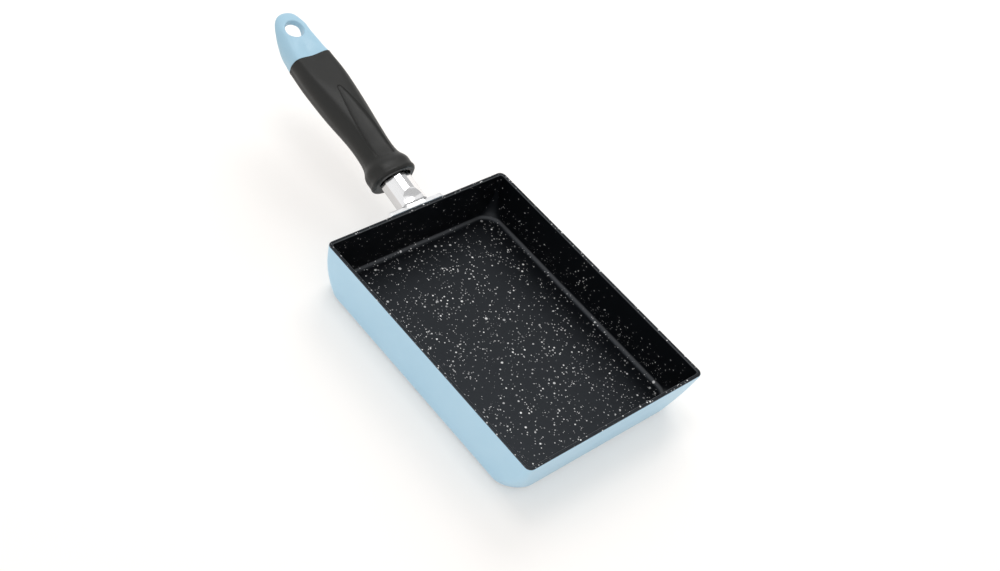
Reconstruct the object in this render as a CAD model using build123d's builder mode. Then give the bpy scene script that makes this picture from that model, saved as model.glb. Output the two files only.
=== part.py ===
from build123d import *
import math
import os

# A small rectangular frying pan for rolled omelettes, with a screwed handle.
# Origin: middle of the tray's underside. +Y runs towards the handle, +Z up. Lengths in millimetres.

# Tray, finished sizes over the coats
RIM_WIDTH = 135.0
RIM_LENGTH = 187.0
TRAY_HEIGHT = 35.5
RIM_CORNER_RADIUS = 4.0
BASE_CORNER_RADIUS = 22.0
CORNER_GROWTH = 3.0
BASE_EDGE_RADIUS = 5.5
FLOOR_EDGE_RADIUS = 3.0
SIDE_DRAFT = 1.5
HANDLE_WALL_DRAFT = 1.5
FRONT_WALL_DRAFT = 12.0
SHEET_THICKNESS = 1.9
FLOOR_THICKNESS = 2.5

# Coats, drawn thicker than the real films so that each is a solid
COAT_THICKNESS = 0.3
LIP_EDGE_RADIUS = 0.8
LIP_SKIRT = 0.35
BARE_BASE_HEIGHT = 0.8

# Rings pressed into the underside
RING_COUNT = 4
RING_WIDTH = 1.2
RING_DEPTH = 0.4
RING_FIRST_INSET = 4.0
RING_PITCH = 11.0
RING_CORNER_RADIUS = 4.0

# Handle axis: it leaves the handle wall below the rim and climbs away from it
HANDLE_CLIMB = 11.2
AXIS_BELOW_RIM = 3.5

# Bracket: a flange on the wall, and a tang inside the ferrule and the grip
FLANGE_WIDTH = 41.0
FLANGE_HEIGHT = 21.5
FLANGE_THICKNESS = 3.2
FLANGE_LOWER_RADIUS = 8.0
FLANGE_UPPER_RADIUS = 2.0
FLANGE_EDGE_RADIUS = 0.9
TANG_LENGTH = 41.0
TANG_CLEARANCE = 0.15

# Studs welded to the wall and peened over the flange
STUD_SPACING = 31.2
STUD_BELOW_AXIS = 7.5
STUD_RADIUS = 2.4
STUD_CLEARANCE = 0.1
STUD_HEAD_RADIUS = 4.0
STUD_HEAD_HEIGHT = 1.7

# Ferrule: a faceted sleeve with a ridge on top and a scoop in it next to the wall.
# Rises and drops are heights above and below the handle's axis.
NECK_WIDTH = 21.2
NECK_RIDGE_RISE = 7.7
NECK_CREST_WIDTH = 7.6
NECK_CREST_RISE = 6.6
NECK_SHOULDER_WIDTH = 18.6
NECK_SHOULDER_RISE = 3.1
NECK_SIDE_DROP = 2.2
NECK_KEEL_WIDTH = 10.0
NECK_KEEL_DROP = 6.2
NECK_EDGE_RADIUS = 0.6
SCOOP_RADIUS = 8.0
SCOOP_PLACE = 6.0
SCOOP_RISE = 4.6
FERRULE_WALL = 1.2
FERRULE_END = 30.0

# Grip
GRIP_START = 24.0
GRIP_LENGTH = 97.5
GRIP_WIDTH = 31.6
GRIP_DEPTH = 24.8
GUARD_EDGE_RADIUS = 2.0
RECESS_DEPTH = 1.5
RECESS_MARGIN = 0.7
SOCKET_CLEARANCE = 0.15

# Along the grip: place as a share of its length, half width as a share of its width, then, as
# shares of its depth, how far the section reaches above and below its widest level and how far
# that level lies above the axis, then how square the section is, and how deep the soft valley
# in its upper side is, as a share of its depth.
GRIP_SECTION_SHARES = [
    (0.000, 0.464, 0.494, 0.494, -0.036, 2.5, 0.000),
    (0.040, 0.474, 0.498, 0.500, -0.036, 2.5, 0.000),
    (0.072, 0.478, 0.490, 0.494, -0.034, 2.5, 0.000),
    (0.108, 0.462, 0.456, 0.474, -0.032, 2.45, 0.000),
    (0.140, 0.412, 0.408, 0.446, -0.030, 2.4, 0.000),
    (0.174, 0.380, 0.392, 0.428, -0.020, 2.35, 0.000),
    (0.226, 0.366, 0.394, 0.416, -0.008, 2.3, 0.000),
    (0.308, 0.370, 0.402, 0.411, 0.012, 2.3, 0.000),
    (0.410, 0.394, 0.413, 0.415, 0.018, 2.35, 0.000),
    (0.523, 0.430, 0.429, 0.429, 0.010, 2.4, 0.000),
    (0.636, 0.457, 0.436, 0.436, 0.008, 2.5, 0.004),
    (0.759, 0.475, 0.431, 0.431, 0.012, 2.65, 0.034),
    (0.872, 0.479, 0.414, 0.414, 0.006, 2.8, 0.068),
    (1.000, 0.468, 0.375, 0.375, -0.004, 3.0, 0.092),
]

VALLEY_WIDTH_SHARE = 0.85

# Thumb hollow on top of the grip. Along it: place as a share of the grip's length, half width
# as a share of the grip's width, and depth below the crest as a share of the grip's depth.
THUMB_HOLLOW_SHARES = [
    (0.140, 0.190, 0.078),
    (0.185, 0.206, 0.084),
    (0.240, 0.214, 0.108),
    (0.313, 0.210, 0.112),
    (0.417, 0.186, 0.098),
    (0.521, 0.146, 0.078),
    (0.626, 0.090, 0.046),
    (0.709, 0.030, 0.012),
]
HOLLOW_SQUARENESS = 3.2
HOLLOW_LIFT_SHARE = 0.06

# End cap with the hanging hole
CAP_LENGTH = 35.5
CAP_STEP = 0.35
PLUG_WIDTH = 18.0
PLUG_DEPTH = 9.6
PLUG_CORNER_RADIUS = 3.5
PLUG_LENGTH = 9.5
HOLE_WIDTH = 12.0
HOLE_LENGTH = 12.2
HOLE_FROM_TIP = 13.8
HOLE_EDGE_RADIUS = 1.0

# Along the end cap, as for the grip: the first is a share of the cap's length
CAP_SECTION_SHARES = [
    (0.000, 0.468, 0.375, 0.375, -0.004, 3.0, 0.092),
    (0.100, 0.464, 0.398, 0.322, -0.034, 2.95, 0.084),
    (0.208, 0.457, 0.420, 0.246, -0.060, 2.9, 0.064),
    (0.319, 0.449, 0.420, 0.184, -0.060, 2.85, 0.038),
    (0.430, 0.434, 0.379, 0.123, -0.020, 2.75, 0.016),
    (0.540, 0.412, 0.323, 0.066, 0.036, 2.65, 0.004),
    (0.651, 0.384, 0.238, 0.050, 0.125, 2.55, 0.000),
    (0.748, 0.349, 0.186, 0.046, 0.177, 2.5, 0.000),
    (0.845, 0.298, 0.153, 0.042, 0.210, 2.6, 0.000),
    (0.914, 0.245, 0.109, 0.038, 0.246, 2.6, 0.000),
    (0.965, 0.176, 0.073, 0.034, 0.266, 2.5, 0.000),
    (0.991, 0.108, 0.046, 0.030, 0.274, 2.4, 0.000),
    (1.000, 0.048, 0.032, 0.026, 0.277, 2.2, 0.000),
]

# Long screw and its washers
SCREW_RADIUS = 2.5
SCREW_LENGTH = 60.0
SCREW_HEAD_RADIUS = 4.25
SCREW_HEAD_HEIGHT = 3.3
SCREW_KEY_WIDTH = 4.0
SCREW_KEY_DEPTH = 2.0
SCREW_EDGE_RADIUS = 0.5
THREAD_CLEARANCE = 0.05
SCREW_CLEARANCE = 0.3
TAP_DEPTH = 14.0
FLAT_WASHER_RADIUS = 5.0
FLAT_WASHER_THICKNESS = 1.0
SPRING_WASHER_RADIUS = 4.4
SPRING_WASHER_THICKNESS = 1.3
SPRING_WASHER_GAP = 1.0
WASHER_HOLE_CLEARANCE = 0.15
WASHER_TUNNEL_CLEARANCE = 0.4

OVERRUN = 6.0
LIP_OVERRUN = 1.0
TRAY_LEVELS = 6
OVAL_POINTS = 16


def rise_over(run, angle):
    """Sideways travel of a face that leans by angle over a run."""
    return run * math.tan(math.radians(angle))


# Planes that carry the handle's sketches
AXIS_HEIGHT = TRAY_HEIGHT - AXIS_BELOW_RIM
AXIS_FOOT = (0, RIM_LENGTH / 2 - rise_over(AXIS_BELOW_RIM, HANDLE_WALL_DRAFT), AXIS_HEIGHT)
CLIMB_COS = math.cos(math.radians(HANDLE_CLIMB))
CLIMB_SIN = math.sin(math.radians(HANDLE_CLIMB))
WALL_COS = math.cos(math.radians(HANDLE_WALL_DRAFT))
WALL_SIN = math.sin(math.radians(HANDLE_WALL_DRAFT))

# Across the handle: local y is the handle's upward side. Its offset runs along the handle.
HANDLE = Plane(origin=AXIS_FOOT, x_dir=(-1, 0, 0), z_dir=(0, CLIMB_COS, CLIMB_SIN))
# Seen from above the handle: local y runs along it
HANDLE_PLAN = Plane(origin=AXIS_FOOT, x_dir=(1, 0, 0), z_dir=(0, -CLIMB_SIN, CLIMB_COS))
# Seen from the handle's side: local x runs along it, local y is its upward side
HANDLE_SIDE = Plane(origin=AXIS_FOOT, x_dir=(0, CLIMB_COS, CLIMB_SIN), z_dir=(1, 0, 0))
# On the outside of the handle wall: local y runs up the wall
WALL_FACE = Plane(origin=AXIS_FOOT, x_dir=(-1, 0, 0), z_dir=(0, WALL_COS, -WALL_SIN))


def tray_outline(z, outset):
    """Half width, front, back and corner radius of the tray at a height, moved out by outset."""
    below_rim = TRAY_HEIGHT - z
    half_width = RIM_WIDTH / 2 - rise_over(below_rim, SIDE_DRAFT)
    half_width += outset / math.cos(math.radians(SIDE_DRAFT))
    back = RIM_LENGTH / 2 - rise_over(below_rim, HANDLE_WALL_DRAFT)
    back += outset / math.cos(math.radians(HANDLE_WALL_DRAFT))
    front = -RIM_LENGTH / 2 + rise_over(below_rim, FRONT_WALL_DRAFT)
    front -= outset / math.cos(math.radians(FRONT_WALL_DRAFT))
    growth = (max(below_rim, 0) / TRAY_HEIGHT) ** CORNER_GROWTH
    corner = RIM_CORNER_RADIUS + (BASE_CORNER_RADIUS - RIM_CORNER_RADIUS) * growth
    return half_width, front, back, corner + outset


def tray_form(outset, bottom, top, edge_radius):
    """Solid inside the tray's walls: drafted sides, changing corners and a rounded lower edge."""
    with BuildPart() as form:
        for level in range(TRAY_LEVELS):
            z = bottom + (top - bottom) * level / (TRAY_LEVELS - 1)
            half_width, front, back, corner = tray_outline(z, outset)
            with BuildSketch(Plane.XY.offset(z)):
                with Locations((0, (front + back) / 2)):
                    RectangleRounded(2 * half_width, back - front, corner)
        loft()
        fillet(form.faces().sort_by(Axis.Z)[0].edges(), edge_radius)
    return form.part


def open_tray(outer, inner, lip_radius):
    """An outer form hollowed by an inner one, with a rounded lip."""
    with BuildPart() as tray:
        add(outer)
        add(inner, mode=Mode.SUBTRACT)
        fillet(tray.faces().filter_by(Axis.Z).sort_by(Axis.Z)[-1].edges(), lip_radius)
    return tray.part


def slab(bottom, top):
    """A block wider than the tray between two heights."""
    with BuildPart() as block:
        with BuildSketch(Plane.XY.offset(bottom)):
            Rectangle(RIM_WIDTH + 2 * OVERRUN, RIM_LENGTH + 2 * OVERRUN)
        extrude(amount=top - bottom)
    return block.part


def stud_places():
    """The two studs' places on the handle wall."""
    return [(-STUD_SPACING / 2, -STUD_BELOW_AXIS), (STUD_SPACING / 2, -STUD_BELOW_AXIS)]


def stud_holes(first, last):
    """The studs' clearance holes between two distances from the wall's finished face."""
    with BuildPart() as holes:
        with BuildSketch(WALL_FACE.offset(first)):
            with Locations(*stud_places()):
                Circle(STUD_RADIUS + STUD_CLEARANCE)
        extrude(amount=last - first)
    return holes.part


def neck_form(inset, start, end):
    """The neck's faceted bar, moved in by inset, between two distances along the handle."""
    half_section = [
        (NECK_CREST_WIDTH / 2, NECK_CREST_RISE),
        (NECK_SHOULDER_WIDTH / 2, NECK_SHOULDER_RISE),
        (NECK_WIDTH / 2, -NECK_SIDE_DROP),
        (NECK_KEEL_WIDTH / 2, -NECK_KEEL_DROP),
    ]
    other_half = [(-x, y) for x, y in reversed(half_section)]
    with BuildPart() as form:
        with BuildSketch(HANDLE.offset(start)) as section:
            with BuildLine():
                Polyline((0, NECK_RIDGE_RISE), *half_section, *other_half, close=True)
            make_face()
            if inset != 0:
                offset(amount=-inset, kind=Kind.INTERSECTION, mode=Mode.REPLACE)
            fillet(section.vertices(), NECK_EDGE_RADIUS)
        extrude(amount=end - start)
        with BuildSketch(HANDLE_SIDE):
            with Locations((SCOOP_PLACE, SCOOP_RISE + SCOOP_RADIUS)):
                Circle(SCOOP_RADIUS + inset)
                Rectangle(
                    SCOOP_PLACE - start + OVERRUN,
                    2 * (SCOOP_RADIUS + inset),
                    align=(Align.MAX, Align.CENTER),
                )
        extrude(amount=NECK_WIDTH, both=True, mode=Mode.SUBTRACT)
    return form.part


def oval(half_width, above, below, rise, squareness, valley):
    """Points round a closed oval. Its corners fill out as squareness grows past two, and the
    middle of its upper side is lowered by the valley."""
    points = []
    for i in range(OVAL_POINTS):
        turn = 2 * math.pi * i / OVAL_POINTS
        across = abs(math.cos(turn)) ** squareness
        upright = abs(math.sin(turn)) ** squareness
        scale = (across + upright) ** (-1 / squareness)
        x = half_width * math.cos(turn) * scale
        if math.sin(turn) > 0:
            y = above * math.sin(turn) * scale
            y -= valley * max(0, 1 - (x / half_width / VALLEY_WIDTH_SHARE) ** 2) ** 2
        else:
            y = below * math.sin(turn) * scale
        points.append((x, y + rise))
    return points


def oval_loft(sections, start, length, step):
    """A smooth solid through the ovals of a table of shares, moved in by step."""
    with BuildPart() as form:
        for place, width_share, above_share, below_share, rise_share, squareness, valley_share in sections:
            points = oval(
                width_share * GRIP_WIDTH - step,
                above_share * GRIP_DEPTH - step,
                below_share * GRIP_DEPTH - step,
                rise_share * GRIP_DEPTH,
                squareness,
                valley_share * GRIP_DEPTH,
            )
            with BuildSketch(HANDLE.offset(start + place * length)):
                with BuildLine():
                    Spline(*points, periodic=True)
                make_face()
        loft()
    return form.part


def crest_at(place):
    """Height of the grip's top line at a share of its length."""
    line = [(row[0], row[2] + row[4] - row[6]) for row in GRIP_SECTION_SHARES]
    for (first, low), (last, high) in zip(line, line[1:]):
        if first <= place <= last:
            return GRIP_DEPTH * (low + (high - low) * (place - first) / (last - first))
    return GRIP_DEPTH * line[-1][1]


def hollow_tool(shares):
    """A slim body whose lower side cuts a hollow of the given widths and depths into the crest."""
    lift = HOLLOW_LIFT_SHARE * GRIP_DEPTH
    with BuildPart() as tool:
        for place, width_share, depth_share in shares:
            depth = depth_share * GRIP_DEPTH
            edge_drop = (lift + depth / 2) / (lift + depth)
            reach = (1 - edge_drop**HOLLOW_SQUARENESS) ** (1 / HOLLOW_SQUARENESS)
            half_width = width_share * GRIP_WIDTH / reach
            rise = crest_at(place) + lift
            points = oval(half_width, lift, lift + depth, rise, HOLLOW_SQUARENESS, 0)
            with BuildSketch(HANDLE.offset(GRIP_START + place * GRIP_LENGTH)):
                with BuildLine():
                    Spline(*points, periodic=True)
                make_face()
        loft()
    return tool.part


# Forms that several pieces share
metal_outside = tray_form(
    -COAT_THICKNESS, 0, TRAY_HEIGHT - COAT_THICKNESS, BASE_EDGE_RADIUS - COAT_THICKNESS
)
metal_inside = tray_form(
    -COAT_THICKNESS - SHEET_THICKNESS,
    FLOOR_THICKNESS,
    TRAY_HEIGHT + LIP_OVERRUN,
    FLOOR_EDGE_RADIUS + COAT_THICKNESS,
)
coated_outside = tray_form(0, -COAT_THICKNESS, TRAY_HEIGHT, BASE_EDGE_RADIUS)
coated_inside = tray_form(
    -2 * COAT_THICKNESS - SHEET_THICKNESS,
    FLOOR_THICKNESS + COAT_THICKNESS,
    TRAY_HEIGHT + LIP_OVERRUN,
    FLOOR_EDGE_RADIUS,
)
metal_tray = open_tray(metal_outside, metal_inside, LIP_EDGE_RADIUS - COAT_THICKNESS)
coated_tray = open_tray(coated_outside, coated_inside, LIP_EDGE_RADIUS)

# Everything that the black coat may cover: the inside as far as the middle of the sheet, and the lip
sheet_middle = tray_form(
    -COAT_THICKNESS - SHEET_THICKNESS / 2,
    FLOOR_THICKNESS / 2,
    TRAY_HEIGHT + LIP_OVERRUN,
    FLOOR_EDGE_RADIUS,
)
lip_slab = slab(TRAY_HEIGHT - LIP_SKIRT, TRAY_HEIGHT + LIP_OVERRUN)
base_slab = slab(-OVERRUN, BARE_BASE_HEIGHT)

# Pan body: pressed aluminium tray with shallow rings in its underside
base_half_width, base_front, base_back, base_corner = tray_outline(0, -BASE_EDGE_RADIUS)
with BuildPart() as pan_body:
    add(metal_tray)
    with BuildSketch(Plane.XY) as rings:
        with Locations((0, (base_front + base_back) / 2)):
            for ring in range(RING_COUNT):
                ring_inset = RING_FIRST_INSET + ring * RING_PITCH
                ring_width = 2 * (base_half_width - ring_inset)
                ring_length = base_back - base_front - 2 * ring_inset
                ring_corner = max(base_corner - ring_inset, RING_CORNER_RADIUS)
                RectangleRounded(ring_width, ring_length, ring_corner)
                RectangleRounded(
                    ring_width - 2 * RING_WIDTH,
                    ring_length - 2 * RING_WIDTH,
                    ring_corner - RING_WIDTH,
                    mode=Mode.SUBTRACT,
                )
    extrude(amount=RING_DEPTH, mode=Mode.SUBTRACT)
pan_body.part.label = "pan_body"

# Outer coating: a skin on the outside of the walls, from under the lip to just above the base
coating_holes = stud_holes(-COAT_THICKNESS - OVERRUN, OVERRUN)
with BuildPart() as outer_coating:
    add(coated_tray)
    add(metal_tray, mode=Mode.SUBTRACT)
    add(sheet_middle, mode=Mode.SUBTRACT)
    add(lip_slab, mode=Mode.SUBTRACT)
    add(base_slab, mode=Mode.SUBTRACT)
    add(coating_holes, mode=Mode.SUBTRACT)
outer_coating.part.label = "outer_coating"

# Non-stick coating: a skin on the inside that turns over the lip
with BuildPart() as black_zone:
    add(sheet_middle)
    add(lip_slab)
with BuildPart() as nonstick_coating:
    add(coated_tray)
    add(metal_tray, mode=Mode.SUBTRACT)
    add(black_zone.part, mode=Mode.INTERSECT)
nonstick_coating.part.label = "nonstick_coating"

# Handle bracket: flange against the wall, tang along the handle, tapped for the long screw
tang_start = -NECK_RIDGE_RISE
tang_bar = neck_form(FERRULE_WALL + TANG_CLEARANCE, tang_start, TANG_LENGTH)
with BuildPart() as tang:
    add(tang_bar)
    split(bisect_by=WALL_FACE, keep=Keep.TOP)
flange_holes = stud_holes(-OVERRUN, FLANGE_THICKNESS + OVERRUN)
flange_top = AXIS_BELOW_RIM / WALL_COS
flange_middle = flange_top - FLANGE_HEIGHT / 2
with BuildPart() as handle_bracket:
    with BuildSketch(WALL_FACE) as flange_outline:
        with Locations((0, flange_middle)):
            Rectangle(FLANGE_WIDTH, FLANGE_HEIGHT)
        corners = flange_outline.vertices().group_by(Axis.Y)
        fillet(corners[0], FLANGE_LOWER_RADIUS)
        fillet(flange_outline.vertices().group_by(Axis.Y)[-1], FLANGE_UPPER_RADIUS)
    extrude(amount=FLANGE_THICKNESS)
    fillet(handle_bracket.faces().sort_by(Axis.Y)[-1].edges(), FLANGE_EDGE_RADIUS)
    add(tang.part)
    add(flange_holes, mode=Mode.SUBTRACT)
    with BuildSketch(HANDLE.offset(TANG_LENGTH - TAP_DEPTH)):
        Circle(SCREW_RADIUS + THREAD_CLEARANCE)
    extrude(amount=TAP_DEPTH + OVERRUN, mode=Mode.SUBTRACT)
handle_bracket.part.label = "handle_bracket"

# Weld studs: shanks from the bare sheet through coat and flange, with domed heads
with BuildPart() as weld_studs:
    with BuildSketch(WALL_FACE.offset(-COAT_THICKNESS)):
        with Locations(*stud_places()):
            Circle(STUD_RADIUS)
    extrude(amount=COAT_THICKNESS + FLANGE_THICKNESS + STUD_HEAD_HEIGHT / 2)
    with BuildSketch(WALL_FACE.offset(FLANGE_THICKNESS)):
        with Locations(*stud_places()):
            Circle(STUD_HEAD_RADIUS)
    extrude(amount=STUD_HEAD_HEIGHT)
    dome_edges = weld_studs.edges().filter_by(GeomType.CIRCLE).group_by(Axis.Y)[-1]
    fillet(dome_edges, STUD_HEAD_HEIGHT * 0.9)
weld_studs.part.label = "weld_studs"

# Ferrule: polished sleeve round the tang, from the flange into the grip
ferrule_outside = neck_form(0, tang_start, FERRULE_END)
ferrule_inside = neck_form(FERRULE_WALL, tang_start - OVERRUN, FERRULE_END + OVERRUN)
with BuildPart() as ferrule:
    add(ferrule_outside)
    add(ferrule_inside, mode=Mode.SUBTRACT)
    split(bisect_by=WALL_FACE.offset(FLANGE_THICKNESS), keep=Keep.TOP)
ferrule.part.label = "ferrule"

# Places along the handle that the screw, the washers and the grip share
GRIP_END = GRIP_START + GRIP_LENGTH
SCREW_SEAT = TANG_LENGTH - TAP_DEPTH + THREAD_CLEARANCE + SCREW_LENGTH
SPRING_SEAT = SCREW_SEAT - SPRING_WASHER_THICKNESS
SHOULDER = SPRING_SEAT - FLAT_WASHER_THICKNESS

# Grip: moulded handle with guard, thumb hollow, rear valley and the bores inside it
grip_outside = oval_loft(GRIP_SECTION_SHARES, GRIP_START, GRIP_LENGTH, 0)
thumb_hollow = hollow_tool(THUMB_HOLLOW_SHARES)
ferrule_socket = neck_form(-SOCKET_CLEARANCE, GRIP_START - OVERRUN, FERRULE_END)
tang_socket = neck_form(
    FERRULE_WALL + TANG_CLEARANCE - SOCKET_CLEARANCE,
    FERRULE_END - OVERRUN,
    TANG_LENGTH + SOCKET_CLEARANCE,
)
with BuildPart() as grip:
    add(grip_outside)
    fillet(grip.faces().sort_by(Axis.Y)[0].edges(), GUARD_EDGE_RADIUS)
    add(thumb_hollow, mode=Mode.SUBTRACT)
    with BuildSketch(HANDLE.offset(GRIP_START)):
        with Locations((0, (NECK_RIDGE_RISE - NECK_KEEL_DROP) / 2)):
            Ellipse(
                NECK_WIDTH / 2 + RECESS_MARGIN,
                (NECK_RIDGE_RISE + NECK_KEEL_DROP) / 2 + RECESS_MARGIN,
            )
    extrude(amount=RECESS_DEPTH, mode=Mode.SUBTRACT)
    add(ferrule_socket, mode=Mode.SUBTRACT)
    add(tang_socket, mode=Mode.SUBTRACT)
    with BuildSketch(HANDLE.offset(TANG_LENGTH)):
        Circle(SCREW_RADIUS + SCREW_CLEARANCE)
    extrude(amount=GRIP_END - TANG_LENGTH, mode=Mode.SUBTRACT)
    with BuildSketch(HANDLE.offset(SHOULDER)):
        Circle(FLAT_WASHER_RADIUS + WASHER_TUNNEL_CLEARANCE)
    extrude(amount=GRIP_END - SHOULDER, mode=Mode.SUBTRACT)
    with BuildSketch(HANDLE.offset(GRIP_END - PLUG_LENGTH - SOCKET_CLEARANCE)):
        RectangleRounded(
            PLUG_WIDTH + 2 * SOCKET_CLEARANCE,
            PLUG_DEPTH + 2 * SOCKET_CLEARANCE,
            PLUG_CORNER_RADIUS + SOCKET_CLEARANCE,
        )
    extrude(amount=PLUG_LENGTH + OVERRUN, mode=Mode.SUBTRACT)
grip.part.label = "grip"

# End cap: curled tongue with a hanging hole, and a plug that closes the grip's rear socket
cap_outside = oval_loft(CAP_SECTION_SHARES, GRIP_END, CAP_LENGTH, CAP_STEP)
with BuildPart() as end_cap:
    add(cap_outside)
    with BuildSketch(HANDLE_PLAN):
        with Locations((0, GRIP_END + CAP_LENGTH - HOLE_FROM_TIP)):
            Ellipse(HOLE_WIDTH / 2, HOLE_LENGTH / 2)
    extrude(amount=GRIP_DEPTH, both=True, mode=Mode.SUBTRACT)
    fillet(end_cap.edges(Select.LAST), HOLE_EDGE_RADIUS)
    with BuildSketch(HANDLE.offset(GRIP_END - PLUG_LENGTH)):
        RectangleRounded(PLUG_WIDTH, PLUG_DEPTH, PLUG_CORNER_RADIUS)
    extrude(amount=PLUG_LENGTH)
end_cap.part.label = "end_cap"

# Tie bolt: long screw from the grip's inner shoulder into the tang
with BuildPart() as tie_bolt:
    with BuildSketch(HANDLE.offset(SCREW_SEAT - SCREW_LENGTH)):
        Circle(SCREW_RADIUS)
    extrude(amount=SCREW_LENGTH)
    with BuildSketch(HANDLE.offset(SCREW_SEAT)):
        Circle(SCREW_HEAD_RADIUS)
    extrude(amount=SCREW_HEAD_HEIGHT)
    fillet(tie_bolt.edges().filter_by(GeomType.CIRCLE).sort_by(Axis.Y)[-1], SCREW_EDGE_RADIUS)
    with BuildSketch(HANDLE.offset(SCREW_SEAT + SCREW_HEAD_HEIGHT)):
        RegularPolygon(SCREW_KEY_WIDTH / 2, 6, major_radius=False)
    extrude(amount=-SCREW_KEY_DEPTH, mode=Mode.SUBTRACT)
tie_bolt.part.label = "tie_bolt"

# Spring washer: a ring with a gap, under the screw's head
with BuildPart() as spring_washer:
    with BuildSketch(HANDLE.offset(SPRING_SEAT)):
        Circle(SPRING_WASHER_RADIUS)
        Circle(SCREW_RADIUS + WASHER_HOLE_CLEARANCE, mode=Mode.SUBTRACT)
        with Locations((0, SPRING_WASHER_RADIUS / 2)):
            Rectangle(SPRING_WASHER_GAP, SPRING_WASHER_RADIUS, mode=Mode.SUBTRACT)
    extrude(amount=SPRING_WASHER_THICKNESS)
spring_washer.part.label = "spring_washer"

# Flat washer: on the grip's inner shoulder
with BuildPart() as flat_washer:
    with BuildSketch(HANDLE.offset(SHOULDER)):
        Circle(FLAT_WASHER_RADIUS)
        Circle(SCREW_RADIUS + WASHER_HOLE_CLEARANCE, mode=Mode.SUBTRACT)
    extrude(amount=FLAT_WASHER_THICKNESS)
flat_washer.part.label = "flat_washer"

pieces = [
    pan_body,
    outer_coating,
    nonstick_coating,
    handle_bracket,
    weld_studs,
    ferrule,
    grip,
    end_cap,
    tie_bolt,
    spring_washer,
    flat_washer,
]
os.makedirs("parts", exist_ok=True)
for piece in pieces:
    export_step(piece.part, f"parts/{piece.part.label}.step")
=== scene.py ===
import logging
import math
from abc import ABC, abstractmethod
from dataclasses import dataclass, field
from enum import Enum
from typing import Any, Mapping, Sequence, Union

import bpy
from mathutils import Matrix, Vector


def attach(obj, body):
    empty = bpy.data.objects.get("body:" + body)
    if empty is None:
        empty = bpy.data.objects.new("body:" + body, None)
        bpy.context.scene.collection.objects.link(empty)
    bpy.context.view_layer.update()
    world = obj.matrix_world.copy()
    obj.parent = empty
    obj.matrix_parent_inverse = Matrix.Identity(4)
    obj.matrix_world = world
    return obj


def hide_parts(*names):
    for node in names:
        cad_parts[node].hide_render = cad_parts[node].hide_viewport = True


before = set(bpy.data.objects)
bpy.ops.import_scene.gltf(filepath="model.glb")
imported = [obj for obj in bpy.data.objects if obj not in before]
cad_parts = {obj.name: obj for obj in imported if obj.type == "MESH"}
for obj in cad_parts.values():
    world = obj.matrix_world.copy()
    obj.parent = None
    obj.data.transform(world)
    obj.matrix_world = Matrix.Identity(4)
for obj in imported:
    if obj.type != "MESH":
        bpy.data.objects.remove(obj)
LOG = logging.getLogger("tamagoyaki_pan")

Colour = tuple[float, float, float]
Triple = tuple[float, float, float]

MM = 0.001
MICRON = 0.000001
ROOT = "root"
WHITE: Colour = (1.0, 1.0, 1.0)
BLACK: Colour = (0.0, 0.0, 0.0)
NOISE_MIDDLE = 0.5
HEXAGON = 6


class Node(Enum):
    """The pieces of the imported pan."""

    PAN_BODY = "pan_body"
    OUTER_COATING = "outer_coating"
    NONSTICK_COATING = "nonstick_coating"
    HANDLE_BRACKET = "handle_bracket"
    WELD_STUDS = "weld_studs"
    FERRULE = "ferrule"
    GRIP = "grip"
    END_CAP = "end_cap"
    TIE_BOLT = "tie_bolt"
    SPRING_WASHER = "spring_washer"
    FLAT_WASHER = "flat_washer"


class Slot(Enum):
    """A material slot of the record, which nothing here reads."""

    FASTENER_STEEL = "fastener_steel"


class Direction(Enum):
    """Which way the fine lines of a brushed metal run."""

    ALONG_PAN = "along_pan"
    ALONG_HANDLE = "along_handle"


class MixKind(Enum):
    """What a Mix node works on."""

    COLOUR = "RGBA"
    NUMBER = "FLOAT"


class SocketKind(Enum):
    """Kinds of inputs that a geometry tree can have."""

    FLOAT = "NodeSocketFloat"
    INTEGER = "NodeSocketInt"
    MATERIAL = "NodeSocketMaterial"


@dataclass(frozen=True)
class HandleAxis:
    """The line that the handle's pieces are set along.

    Attributes:
        foot: Where the line leaves the handle wall.
        climb: How far it rises away from the level, in degrees.
    """

    foot: Triple = (0.0, 93.408 * MM, 32.0 * MM)
    climb: float = 11.2

    def placed(self, distance: float) -> Matrix:
        """Gives the frame whose Z runs along the handle, from a point on it.

        Args:
            distance: How far from the foot the frame's origin lies.

        Returns:
            The matrix from that frame to the pan's.
        """
        turn = Matrix.Rotation(math.radians(self.climb - 90), 4, "X")
        return Matrix.Translation(self.foot) @ turn @ Matrix.Translation((0, 0, distance))


HANDLE_AXIS = HandleAxis()


# Node graphs


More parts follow.
